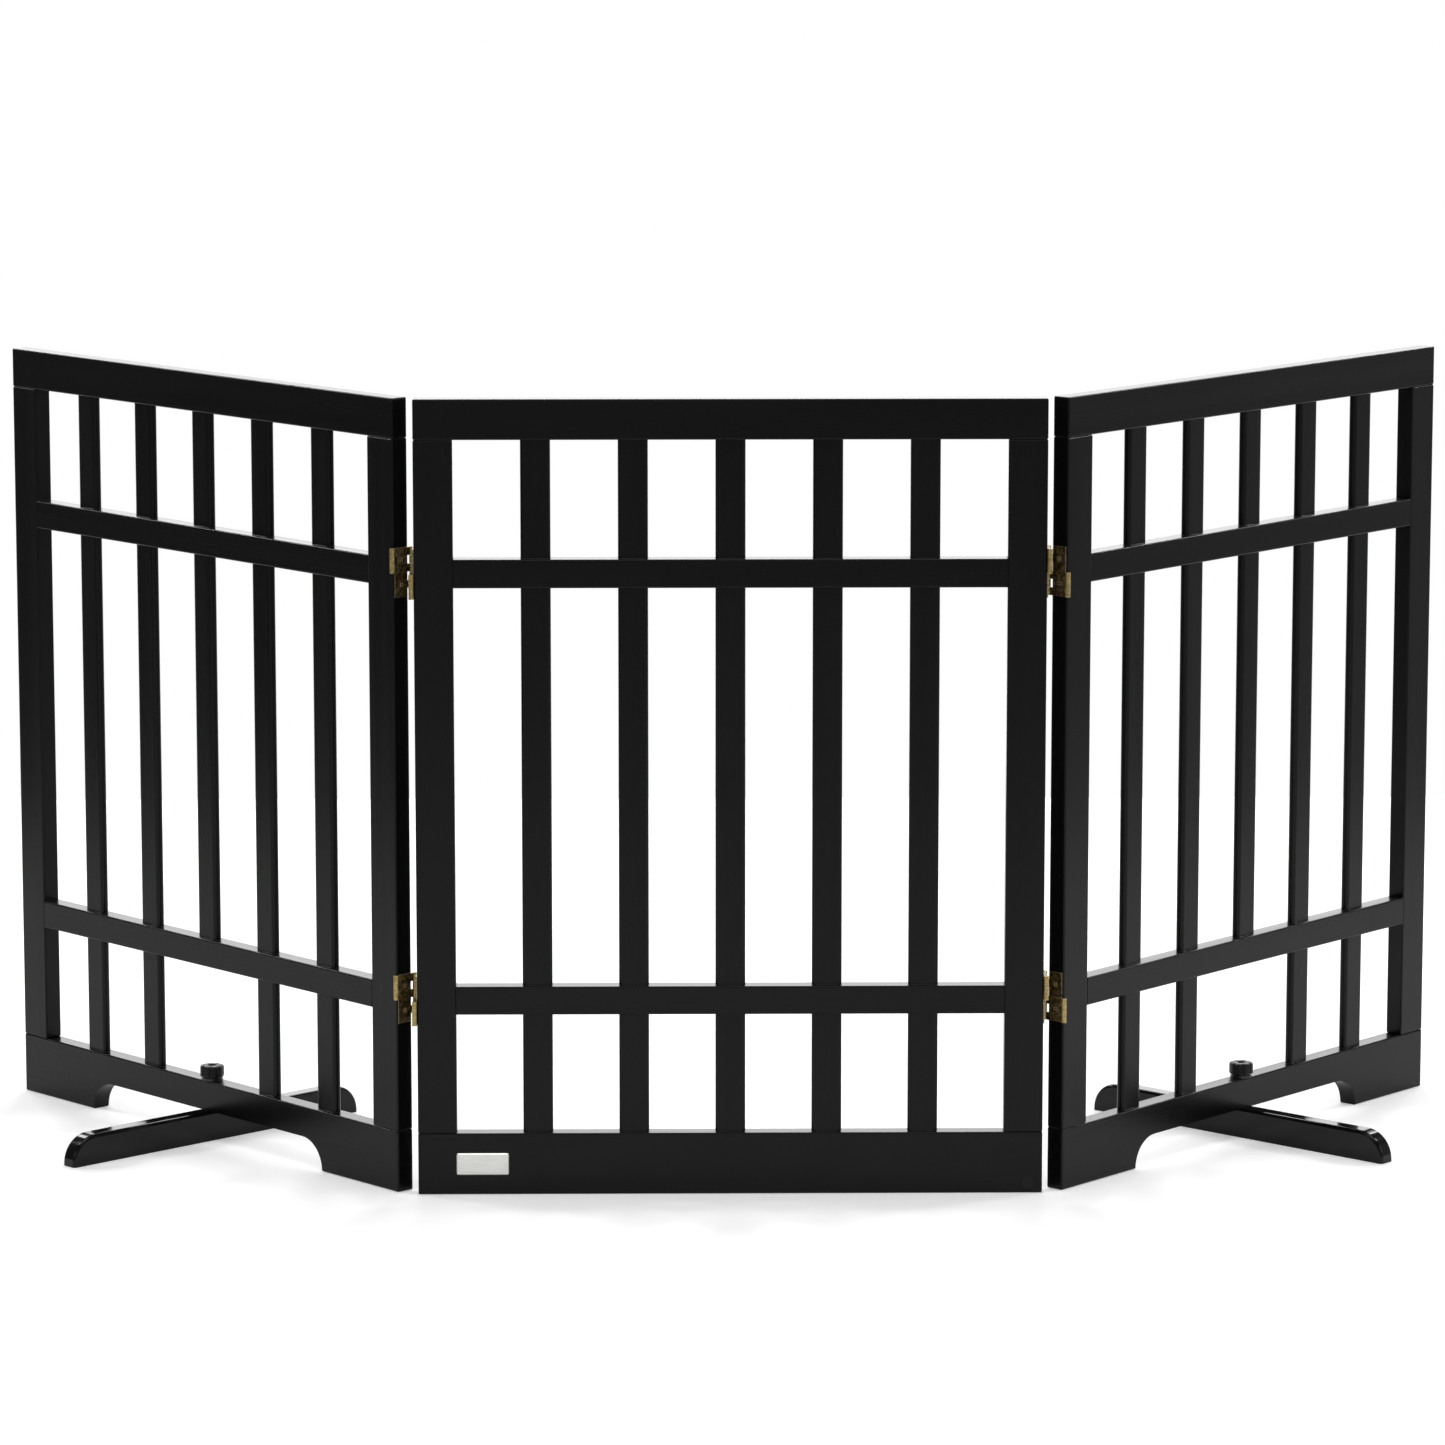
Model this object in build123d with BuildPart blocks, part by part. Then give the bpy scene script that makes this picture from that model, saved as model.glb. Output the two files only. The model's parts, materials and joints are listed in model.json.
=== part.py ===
from build123d import *

import os
from math import atan2, degrees

# Three-panel folding pet gate, millimetres. X runs along the centre panel, Y to its back, Z up.
# The origin is on the floor under the middle of the centre panel, halfway through its thickness.
# The two side panels stand folded back, each on a pair of double-acting screen hinges.

# ---- Driving dimensions ----
panel_width = 480.0
panel_height = 615.0
board = 15.0  # thickness of every board of the frames
edge_ease = 1.2  # rounding along the edges of the boards
stile_width = 30.0
top_rail_height = 31.0
bottom_rail_height = 48.0
mid_rail_height = 22.0
upper_mid_rail_z = 471.0  # underside
lower_mid_rail_z = 141.0  # underside
fold_angle = 48.0  # how far each side panel stands folded back

slat_count = 5
slat_width = 23.0
slat_thickness = 7.0
slat_rounding = 3.0
slat_least_flat = 0.1  # on a slat's narrow edges, between their rounded corners
mortise_depth = 10.0
mortise_play = 0.1  # all round a slat in its mortise
mortise_end_play = 0.4  # between a slat's end and the bottom of its mortise

dowel_radius = 3.0
dowel_length = 24.0
dowel_spacing = 14.0  # between the two dowels at the end of a stile
dowel_play = 0.05
dowel_end_play = 0.5
dowel_chamfer = 0.5

arch_foot_length = 93.0  # end of a side panel's bottom rail that stands on the floor
arch_height = 24.0

foot_length = 287.0
foot_top_play = 0.2  # under the arch
foot_thickness = 15.0
foot_end_radius = 22.0
foot_rounding = 2.6
bolt_radius = 3.0
bolt_play = 0.1  # in the rail and the knob, which turn round it
bolt_grip_play = 0.05  # in the foot, which turns with it
bolt_head_radius = 6.0
bolt_head_height = 3.0
bolt_head_chamfer = 0.75
bolt_end_chamfer = 0.5
bolt_head_sink = 1.0  # from the floor to the head
washer_radius = 8.6
washer_thickness = 1.6
knob_radius = 9.5
knob_height = 10.0
knob_neck_radius = 7.6
knob_neck_height = 1.4
knob_lobes = 8
knob_scallop_radius = 1.6
knob_scallop_offset = 0.6  # from the knob's rim out to the middle of a scallop
knob_rounding = 1.8  # round its top
knob_recess_radius = 3.6
knob_recess_depth = 2.0
knob_seat_play = 0.1  # over the washer

hinge_height = 38.0
plate_thickness = 0.9
pin_radius = 0.95
pin_play = 0.05
pin_inset = 0.3  # from the end of a barrel to the end of its pin
barrel_offset = 2.0  # pivot axis beyond the face of the board
knuckle_share = 0.33  # length of each of a link's two knuckles, as a share of its barrel
knuckle_play = 0.3  # between neighbouring knuckles and between the two barrels
leaf_margin = 1.4  # from the edge of the board to the edge of a leaf's plate
leaf_root = 1.0  # how far a leaf's knuckle runs back over its plate
link_margin = 0.3  # from the edge of the board to the edge of a link's plate
link_hole_radius = 3.4
link_notch = 2.5  # depth of the notch in a link's plate beside a leaf's knuckle
screw_radius = 1.3
screw_length = 12.0
screw_head_radius = 2.6
screw_play = 0.05
screw_slot_width = 0.6
screw_slot_length = 3.2
screw_slot_depth = 0.45

badge_length = 40.0
badge_height = 17.0
badge_thickness = 1.2
badge_bevel = 0.7
badge_corner = 1.2
badge_border = 1.4  # width of its raised border
badge_recess = 0.35  # depth of its middle below the border
badge_inset = 29.6  # from the end of the rail
plug_radius = 4.2
plug_depth = 4.0
plug_inset = 11.0  # from the end of the rail to the plug's middle
plug_height = 8.5  # the plug's middle above the floor
plug_play = 0.05

# ---- Sizes that follow ----
inner_width = panel_width - 2 * stile_width
slat_gap = (inner_width - slat_count * slat_width) / (slat_count + 1)
slat_pitch = slat_width + slat_gap
slat_places = [(i - (slat_count - 1) / 2) * slat_pitch for i in range(slat_count)]
top_rail_z = panel_height - top_rail_height
stile_length = top_rail_z - bottom_rail_height
stile_place = (panel_width - stile_width) / 2
slat_corner = min(slat_rounding, slat_thickness / 2 - slat_least_flat)
mid_rails = {"upper": upper_mid_rail_z, "lower": lower_mid_rail_z}

knuckle_radius = pin_radius + pin_play + plate_thickness
hinge_gap = 2 * knuckle_radius
pivot_y = board / 2 + barrel_offset
barrel_height = hinge_height / 2 - knuckle_play / 2
link_knuckle_length = barrel_height * knuckle_share
leaf_knuckle_length = barrel_height - 2 * link_knuckle_length - 2 * knuckle_play
link_knuckle_rise = (barrel_height - link_knuckle_length) / 2  # from the barrel's middle
link_notch_height = leaf_knuckle_length + 2 * knuckle_play
barrel_middle = hinge_height / 4 + knuckle_play / 4  # above and below the hinge's middle
hinge_places = [z + mid_rail_height / 2 for z in mid_rails.values()]

screw_head_angle = 2 * degrees(atan2(screw_head_radius - screw_radius, plate_thickness))

foot_height = arch_height - foot_top_play
knob_z = bottom_rail_height + washer_thickness + knob_seat_play
bolt_length = knob_z + knob_height - knob_recess_depth - bolt_head_sink
badge_rim = badge_bevel + badge_border
plug_place = (panel_width / 2 - plug_inset, plug_height)

os.makedirs("parts", exist_ok=True)


# ---- Frames of reference ----
def side_frame(side):
    """The plane of a folded side panel: -1 is the left one, 1 the right one."""
    reach = side * (panel_width + hinge_gap) / 2
    pivot = Location((reach, pivot_y, 0), (0, 0, side * fold_angle))
    return Plane(pivot * Location((reach, -pivot_y, 0)))


def level(frame, z):
    """A horizontal plane of a panel, at a height."""
    return frame.offset(z)


def front(frame, y):
    """A plane parallel to a panel's faces, looking out of its front."""
    return Plane(frame * Location((0, y, 0), (90, 0, 0)))


def across(frame, x):
    """A plane square to a panel's length, looking along it."""
    return Plane(frame * Location((x, 0, 0), (90, 90, 0)))


def write(piece, name):
    """Label a finished piece and write it to its own file."""
    piece.part.label = name
    export_step(piece.part, f"parts/{name}.step")


# ---- Pieces that repeat, each made once about the origin ----
with BuildPart() as dowel:
    with BuildSketch():
        Circle(dowel_radius)
    extrude(amount=dowel_length / 2, both=True)
    chamfer(dowel.edges().filter_by(GeomType.CIRCLE), length=dowel_chamfer)

with BuildPart() as screw:
    # Its head lies level with the top of the leaf, and its shank runs down from there.
    with BuildSketch(Plane.XZ):
        with BuildLine():
            Polyline(
                (0, 0),
                (screw_head_radius - screw_play, 0),
                (screw_radius, -plate_thickness),
                (screw_radius, 2 * screw_radius - screw_length),
                (0, -screw_length),
                close=True,
            )
        make_face()
    revolve(axis=Axis.Z)
    with BuildSketch():
        Rectangle(screw_slot_length, screw_slot_width)
        Rectangle(screw_slot_width, screw_slot_length)
    extrude(amount=-screw_slot_depth, mode=Mode.SUBTRACT)


def hinge_pin(length):
    """A plain hinge pin about the origin."""
    with BuildPart() as pin:
        with BuildSketch():
            Circle(pin_radius)
        extrude(amount=length / 2, both=True)
    return pin.part


def knuckle_profile(pivot_side, root_x, root_y):
    """The section of one knuckle: a ring round the pivot and the plate that runs into it."""
    pivot = pivot_side * pivot_y
    low, high = sorted((pivot, root_y))
    with BuildSketch() as profile:
        with Locations((0, pivot)):
            Circle(knuckle_radius)
        with Locations((root_x, (low + high) / 2)):
            Rectangle(plate_thickness, high - low)
        with Locations((0, pivot)):
            Circle(pin_radius + pin_play, mode=Mode.SUBTRACT)
    return profile.sketch


def hinge_leaf(hand):
    """One leaf of a hinge: -1 is the left-hand leaf, 1 the right-hand one.

    The left-hand leaf has its front barrel in the hinge's upper half and its back barrel in
    the lower half, and the right-hand leaf the other way round. It has the middle knuckle of
    each barrel.
    """
    root_x = hand * (knuckle_radius - plate_thickness / 2)
    leaf_edge = board / 2 - leaf_margin
    with BuildPart() as leaf:
        with BuildSketch(Plane.XY.offset(-hinge_height / 2)):
            with Locations((root_x, 0)):
                Rectangle(plate_thickness, 2 * leaf_edge)
        extrude(amount=hinge_height)
        for pivot_side, half in ((-1, -hand), (1, hand)):
            knuckle_foot = half * barrel_middle - leaf_knuckle_length / 2
            with BuildSketch(Plane.XY.offset(knuckle_foot)):
                add(knuckle_profile(pivot_side, root_x, pivot_side * (leaf_edge - leaf_root)))
            extrude(amount=leaf_knuckle_length)
        # Countersunk screw holes, one in each half, open to the gap between the panels.
        face_x = hand * (knuckle_radius - plate_thickness)
        for half in (-1, 1):
            with Locations(Location((face_x, 0, half * barrel_middle), (0, -hand * 90, 0))):
                CounterSinkHole(
                    radius=screw_radius + screw_play,
                    counter_sink_radius=screw_head_radius,
                    depth=plate_thickness,
                    counter_sink_angle=screw_head_angle,
                )
    return leaf.part


def hinge_link():
    """The plate that crosses the gap between a front barrel and a back barrel.

    It has the two end knuckles of each, and is notched between them.
    """
    reach = board / 2 - link_margin
    notch_middle = reach - link_notch / 2
    with BuildPart() as link:
        with BuildSketch(Plane.XY.offset(-barrel_height / 2)):
            Rectangle(plate_thickness, 2 * reach)
        extrude(amount=barrel_height)
        for pivot_side in (-1, 1):
            knuckle = knuckle_profile(pivot_side, 0, pivot_side * (reach - plate_thickness))
            for end in (-1, 1):
                knuckle_foot = end * link_knuckle_rise - link_knuckle_length / 2
                with BuildSketch(Plane.XY.offset(knuckle_foot)):
                    add(knuckle)
                extrude(amount=link_knuckle_length)
        with BuildSketch(Plane.XY.offset(-link_notch_height / 2)):
            with Locations((0, -notch_middle), (0, notch_middle)):
                Rectangle(2 * plate_thickness, link_notch)
        extrude(amount=link_notch_height, mode=Mode.SUBTRACT)
        with BuildSketch(Plane.YZ):
            Circle(link_hole_radius)
        extrude(amount=plate_thickness, both=True, mode=Mode.SUBTRACT)
    return link.part


def placed(frame, pieces):
    """One node of separate solids: each (part, location) pair set in a panel's frame."""
    with BuildPart() as node:
        for part, place in pieces:
            with Locations(frame.location * place):
                add(part)
    return node


# ---- The frame of a panel ----
def eased_board(frame, x, length, z, height):
    """A straight board with all its edges eased, before its joints are cut."""
    with BuildPart() as piece:
        with BuildSketch(level(frame, z)):
            with Locations((x, 0)):
                Rectangle(length, board)
        extrude(amount=height)
        fillet(piece.edges(), radius=edge_ease)
    return piece.part


def slat_ends(frame, z, places, play=0.0):
    """The sections of slats at a height, grown all round by a play."""
    with BuildSketch(level(frame, z)) as ends:
        with Locations([(x, 0) for x in places]):
            RectangleRounded(
                slat_width + 2 * play, slat_thickness + 2 * play, slat_corner + play
            )
    return ends.sketch


def round_holes(plane, places, radius):
    """Circles of one radius on a plane, for holes to be cut from."""
    with BuildSketch(plane) as holes:
        with Locations(places):
            Circle(radius)
    return holes.sketch


def arch_opening(frame):
    """The outline of the arch under a side panel's bottom rail, with round upper corners."""
    half = panel_width / 2 - arch_foot_length
    flat = half - arch_height
    with BuildSketch(front(frame, 0)) as opening:
        with BuildLine():
            Polyline((-half, 0), (-half, -edge_ease), (half, -edge_ease), (half, 0))
            RadiusArc((half, 0), (flat, arch_height), -arch_height)
            Line((flat, arch_height), (-flat, arch_height))
            RadiusArc((-flat, arch_height), (-half, 0), -arch_height)
        make_face()
    return opening.sketch


def build_rails(name, frame, arched, low_places, stile_dowels):
    """Build a panel's full-width top and bottom rails."""
    upright = [(x, 0) for x in stile_dowels]
    hole_radius = dowel_radius + dowel_play
    hole_depth = dowel_length / 2 + dowel_end_play

    with BuildPart() as top_rail:
        add(eased_board(frame, 0, panel_width, top_rail_z, top_rail_height))
        mouths = slat_ends(frame, top_rail_z, slat_places, mortise_play)
        extrude(mouths, amount=mortise_depth, mode=Mode.SUBTRACT)
        holes = round_holes(level(frame, top_rail_z), upright, hole_radius)
        extrude(holes, amount=hole_depth, mode=Mode.SUBTRACT)
    write(top_rail, f"{name}_top_rail")

    with BuildPart() as bottom_rail:
        add(eased_board(frame, 0, panel_width, 0, bottom_rail_height))
        mouths = slat_ends(frame, bottom_rail_height, low_places, mortise_play)
        extrude(mouths, amount=-mortise_depth, mode=Mode.SUBTRACT)
        holes = round_holes(level(frame, bottom_rail_height), upright, hole_radius)
        extrude(holes, amount=-hole_depth, mode=Mode.SUBTRACT)
        if arched:
            extrude(arch_opening(frame), amount=board, both=True, mode=Mode.SUBTRACT)
            bolt_hole = round_holes(level(frame, 0), [(0, 0)], bolt_radius + bolt_play)
            extrude(bolt_hole, amount=bottom_rail_height, mode=Mode.SUBTRACT)
        else:
            plug_hole = round_holes(front(frame, -board / 2), [plug_place], plug_radius + plug_play)
            extrude(plug_hole, amount=-plug_depth, mode=Mode.SUBTRACT)
    write(bottom_rail, f"{name}_bottom_rail")


def build_stiles(name, frame, hinge_sides, stile_dowels):
    """Build a panel's two stiles, with pilot holes where they carry hinges."""
    hole_radius = dowel_radius + dowel_play
    hole_depth = dowel_length / 2 + dowel_end_play
    mid_rail_joints = [(0, z) for z in hinge_places]
    pilots = [(0, z + half * barrel_middle) for z in hinge_places for half in (-1, 1)]

    for side, side_name in ((-1, "left"), (1, "right")):
        own_dowels = [(x, 0) for x in stile_dowels if side * x > 0]
        with BuildPart() as stile:
            add(eased_board(
                frame, side * stile_place, stile_width, bottom_rail_height, stile_length
            ))
            low_holes = round_holes(level(frame, bottom_rail_height), own_dowels, hole_radius)
            extrude(low_holes, amount=hole_depth, mode=Mode.SUBTRACT)
            top_holes = round_holes(level(frame, top_rail_z), own_dowels, hole_radius)
            extrude(top_holes, amount=-hole_depth, mode=Mode.SUBTRACT)
            rail_holes = round_holes(
                across(frame, side * inner_width / 2), mid_rail_joints, hole_radius
            )
            extrude(rail_holes, amount=side * hole_depth, mode=Mode.SUBTRACT)
            if side in hinge_sides:
                pilot_holes = round_holes(
                    across(frame, side * panel_width / 2), pilots, screw_radius + screw_play
                )
                extrude(pilot_holes, amount=-side * screw_length, mode=Mode.SUBTRACT)
        write(stile, f"{name}_{side_name}_stile")


def build_mid_rails(name, frame, low_places):
    """Build the two rails between a panel's stiles, which the slats pass through."""
    hole_depth = dowel_length / 2 + dowel_end_play
    stopped = [x for x in slat_places if x not in low_places]
    for rail_name, z in mid_rails.items():
        joint = [(0, z + mid_rail_height / 2)]
        through = low_places if rail_name == "lower" else slat_places
        with BuildPart() as rail:
            with BuildSketch(level(frame, z)):
                Rectangle(inner_width, board)
            extrude(amount=mid_rail_height)
            along = Axis(frame.origin, frame.x_dir)
            fillet(rail.edges().filter_by(along), radius=edge_ease)
            for side in (-1, 1):
                end = across(frame, side * inner_width / 2)
                holes = round_holes(end, joint, dowel_radius + dowel_play)
                extrude(holes, amount=-side * hole_depth, mode=Mode.SUBTRACT)
            mouths = slat_ends(frame, z, through, mortise_play)
            extrude(mouths, amount=mid_rail_height, mode=Mode.SUBTRACT)
            if rail_name == "lower" and stopped:
                mouths = slat_ends(frame, z + mid_rail_height, stopped, mortise_play)
                extrude(mouths, amount=-mortise_depth, mode=Mode.SUBTRACT)
        write(rail, f"{name}_{rail_name}_mid_rail")


def build_slats(name, frame, low_places):
    """Build a panel's slats, each with both ends in mortises."""
    slat_top = top_rail_z + mortise_depth - mortise_end_play
    for number, x in enumerate(slat_places, start=1):
        seat = bottom_rail_height if x in low_places else lower_mid_rail_z + mid_rail_height
        slat_bottom = seat - mortise_depth + mortise_end_play
        with BuildPart() as slat:
            extrude(slat_ends(frame, slat_bottom, [x]), amount=slat_top - slat_bottom)
        write(slat, f"{name}_slat_{number}")


def build_panel(name, frame, hinge_sides, arched):
    """Build a panel: two full-width rails, two stiles, two mid rails, the slats and dowels.

    hinge_sides holds -1 and 1 for the ends that carry hinges. An arched panel has a foot under
    its bottom rail, and its middle slat stops at the lower mid rail to leave room for the knob.
    """
    low_places = [x for x in slat_places if not arched or abs(x) > slat_width / 2]
    stile_dowels = [
        side * stile_place + end * dowel_spacing / 2 for side in (-1, 1) for end in (-1, 1)
    ]
    build_rails(name, frame, arched, low_places, stile_dowels)
    build_stiles(name, frame, hinge_sides, stile_dowels)
    build_mid_rails(name, frame, low_places)
    build_slats(name, frame, low_places)

    joints_z = (bottom_rail_height, top_rail_z)
    seats = [Location((x, 0, z)) for x in stile_dowels for z in joints_z]
    seats += [
        Location((side * inner_width / 2, 0, z), (0, 90, 0))
        for side in (-1, 1) for z in hinge_places
    ]
    write(placed(frame, [(dowel.part, seat) for seat in seats]), f"{name}_dowels")


# ---- The foot under a side panel, its bolt, washer and knob ----
def build_support(name, frame):
    """Build a foot that stands square to a side panel, and what clamps it there."""
    half = foot_length / 2
    with BuildPart() as foot:
        with BuildSketch(across(frame, 0)):
            with BuildLine():
                Line((-half, 0), (half, 0))
                Line((half, 0), (half, foot_height - foot_end_radius))
                RadiusArc(
                    (half, foot_height - foot_end_radius),
                    (half - foot_end_radius, foot_height),
                    -foot_end_radius,
                )
                Line((half - foot_end_radius, foot_height), (foot_end_radius - half, foot_height))
                RadiusArc(
                    (foot_end_radius - half, foot_height),
                    (-half, foot_height - foot_end_radius),
                    -foot_end_radius,
                )
                Line((-half, foot_height - foot_end_radius), (-half, 0))
            make_face()
        extrude(amount=foot_thickness / 2, both=True)
        sides = foot.faces().filter_by(Axis(frame.origin, frame.x_dir))
        upper = sides.edges().filter_by(lambda edge: edge.center().Z > edge_ease)
        fillet(upper, radius=foot_rounding)
        with BuildSketch(level(frame, 0)):
            Circle(bolt_head_radius + bolt_play)
        extrude(amount=bolt_head_sink + bolt_head_height, mode=Mode.SUBTRACT)
        with BuildSketch(level(frame, 0)):
            Circle(bolt_radius + bolt_grip_play)
        extrude(amount=foot_height, mode=Mode.SUBTRACT)
    write(foot, f"{name}_foot")

    with BuildPart() as bolt:
        with BuildSketch(level(frame, bolt_head_sink)):
            Circle(bolt_head_radius)
        extrude(amount=bolt_head_height)
        chamfer(bolt.edges().group_by(Axis.Z)[0], length=bolt_head_chamfer)
        with BuildSketch(level(frame, bolt_head_sink + bolt_head_height)):
            Circle(bolt_radius)
        extrude(amount=bolt_length - bolt_head_height)
        chamfer(bolt.edges().group_by(Axis.Z)[-1], length=bolt_end_chamfer)
    write(bolt, f"{name}_foot_bolt")

    with BuildPart() as washer:
        with BuildSketch(level(frame, bottom_rail_height)):
            Circle(washer_radius)
            Circle(bolt_radius + bolt_play, mode=Mode.SUBTRACT)
        extrude(amount=washer_thickness)
    write(washer, f"{name}_foot_washer")

    with BuildPart() as knob:
        with BuildSketch(level(frame, knob_z)):
            Circle(knob_neck_radius)
        extrude(amount=knob_neck_height)
        with BuildSketch(level(frame, knob_z + knob_neck_height)):
            Circle(knob_radius)
            with PolarLocations(knob_radius + knob_scallop_offset, knob_lobes):
                Circle(knob_scallop_radius, mode=Mode.SUBTRACT)
        extrude(amount=knob_height - knob_neck_height)
        fillet(knob.edges().group_by(Axis.Z)[-1], radius=knob_rounding)
        with BuildSketch(level(frame, knob_z + knob_height)):
            Circle(knob_recess_radius)
        extrude(amount=-knob_recess_depth, mode=Mode.SUBTRACT)
        with BuildSketch(level(frame, knob_z)):
            Circle(bolt_radius + bolt_play)
        extrude(amount=knob_height, mode=Mode.SUBTRACT)
    write(knob, f"{name}_foot_knob")


# ---- The hinges between the centre panel and a side panel ----
def build_hinges(name, side, frame):
    """Build the two hinges of one joint: leaves, links, pins and the side panel's screws.

    The carrier link's front barrel is on the centre panel's leaf, and its back barrel on the
    side panel's leaf. The side link joins the other two barrels. The pin of its back barrel is
    in three lengths, one in each knuckle, so that the link can leave the centre panel's leaf.
    """
    reach = (panel_width + hinge_gap) / 2
    side_hand, centre_hand = side, -side
    carrier_half = -centre_hand
    centre_places = [Location((side * reach, 0, z)) for z in hinge_places]
    side_places = [Location((-side * reach, 0, z)) for z in hinge_places]
    carrier_shift = Location((0, 0, carrier_half * barrel_middle))
    side_shift = Location((0, 0, -carrier_half * barrel_middle))
    front_pivot = Location((0, -pivot_y, 0))
    back_pivot = Location((0, pivot_y, 0))
    centre_leaf = hinge_leaf(centre_hand)
    side_leaf = hinge_leaf(side_hand)
    link = hinge_link()
    pin = hinge_pin(barrel_height - 2 * pin_inset)

    write(placed(Plane.XY, [(centre_leaf, p) for p in centre_places]), f"{name}_hinge_centre_leaves")
    carriers = [(link, p * carrier_shift) for p in centre_places]
    write(placed(Plane.XY, carriers), f"{name}_hinge_carrier_links")
    write(placed(frame, [(side_leaf, p) for p in side_places]), f"{name}_hinge_side_leaves")
    write(placed(frame, [(link, p * side_shift) for p in side_places]), f"{name}_hinge_side_links")

    pins = [(pin, p * side_shift * front_pivot) for p in side_places]
    pins += [(pin, p * carrier_shift * back_pivot) for p in side_places]
    link_stub = hinge_pin(link_knuckle_length - pin_inset)
    for place in side_places:
        for end in (-1, 1):
            rise = Location((0, 0, end * (link_knuckle_rise - pin_inset / 2)))
            pins.append((link_stub, place * side_shift * back_pivot * rise))
    write(placed(frame, pins), f"{name}_hinge_pins")
    write(placed(frame, leaf_screws(side_places, side_hand)), f"{name}_hinge_screws")

    centre_pins.extend((pin, p * carrier_shift * front_pivot) for p in centre_places)
    leaf_stub = hinge_pin(leaf_knuckle_length)
    centre_pins.extend((leaf_stub, p * side_shift * back_pivot) for p in centre_places)
    centre_screws.extend(leaf_screws(centre_places, centre_hand))


def leaf_screws(places, hand):
    """The two screws of each leaf, their heads towards the gap."""
    face_x = hand * (knuckle_radius - plate_thickness)
    seats = [
        Location((face_x, 0, half * barrel_middle), (0, -hand * 90, 0)) for half in (-1, 1)
    ]
    return [(screw.part, place * seat) for place in places for seat in seats]


# ---- Badge and plug on the centre panel ----
def build_badge(frame):
    """A blank bevelled plate with a raised border."""
    place = (badge_inset + badge_length / 2 - panel_width / 2, bottom_rail_height / 2)
    with BuildPart() as badge:
        with BuildSketch(front(frame, -board / 2)):
            with Locations(place):
                RectangleRounded(badge_length, badge_height, badge_corner)
        extrude(amount=badge_thickness)
        chamfer(badge.faces().sort_by(Axis.Y)[0].edges(), length=badge_bevel)
        with BuildSketch(front(frame, -board / 2 - badge_thickness)):
            with Locations(place):
                RectangleRounded(
                    badge_length - 2 * badge_rim, badge_height - 2 * badge_rim, badge_corner
                )
        extrude(amount=-badge_recess, mode=Mode.SUBTRACT)
    write(badge, "badge_plate")


def build_plug(frame):
    """The filler plug near the end of the centre panel's bottom rail."""
    with BuildPart() as plug:
        with BuildSketch(front(frame, -board / 2)):
            with Locations(plug_place):
                Circle(plug_radius)
        extrude(amount=-plug_depth)
    write(plug, "rail_plug")


# ---- The gate ----
centre_pins = []
centre_screws = []
build_panel("centre", Plane.XY, (-1, 1), arched=False)
build_badge(Plane.XY)
build_plug(Plane.XY)
for side_name, side_sign in (("left", -1), ("right", 1)):
    panel_frame = side_frame(side_sign)
    build_panel(side_name, panel_frame, (-side_sign,), arched=True)
    build_support(side_name, panel_frame)
    build_hinges(side_name, side_sign, panel_frame)
write(placed(Plane.XY, centre_pins), "centre_hinge_pins")
write(placed(Plane.XY, centre_screws), "centre_hinge_screws")
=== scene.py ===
"""The looks of a folding pet gate in black satin lacquer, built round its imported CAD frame."""

import json
import logging
import math
from dataclasses import dataclass, field
from enum import Enum

import bpy
from mathutils import Matrix, Vector


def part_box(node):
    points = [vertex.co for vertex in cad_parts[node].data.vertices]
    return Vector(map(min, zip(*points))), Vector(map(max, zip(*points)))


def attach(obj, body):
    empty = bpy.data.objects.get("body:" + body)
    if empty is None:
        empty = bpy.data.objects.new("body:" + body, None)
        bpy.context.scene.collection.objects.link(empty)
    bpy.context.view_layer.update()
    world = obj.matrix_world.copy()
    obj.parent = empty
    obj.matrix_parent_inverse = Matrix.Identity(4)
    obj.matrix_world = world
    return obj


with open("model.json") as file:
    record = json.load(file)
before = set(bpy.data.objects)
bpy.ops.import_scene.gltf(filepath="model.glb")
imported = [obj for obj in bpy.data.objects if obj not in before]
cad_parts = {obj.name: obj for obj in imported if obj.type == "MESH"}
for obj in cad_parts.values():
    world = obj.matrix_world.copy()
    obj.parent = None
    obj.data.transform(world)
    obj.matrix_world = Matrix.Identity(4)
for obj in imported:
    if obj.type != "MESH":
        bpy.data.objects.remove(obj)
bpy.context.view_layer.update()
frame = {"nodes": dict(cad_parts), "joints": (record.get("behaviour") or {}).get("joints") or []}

log = logging.getLogger("pet_gate")

SLAT_COUNT = 5
MIDDLE_SLAT = 3
FLOOR_DROP = 0.0002
MIX_COLOUR_INPUTS = (6, 7)
MIX_COLOUR_RESULT = 2
Colour = tuple[float, float, float]
Socket = bpy.types.NodeSocket


class Side(Enum):
    """Which side panel a piece belongs to, as the sign of X."""

    LEFT = -1
    RIGHT = 1

    @property
    def word(self) -> str:
        """The side's name in node and body names."""
        return self.name.lower()


class Grain(Enum):
    """How a board's grain runs in its panel."""

    UPRIGHT = "upright"
    ALONG = "along"
    ACROSS = "across"


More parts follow.
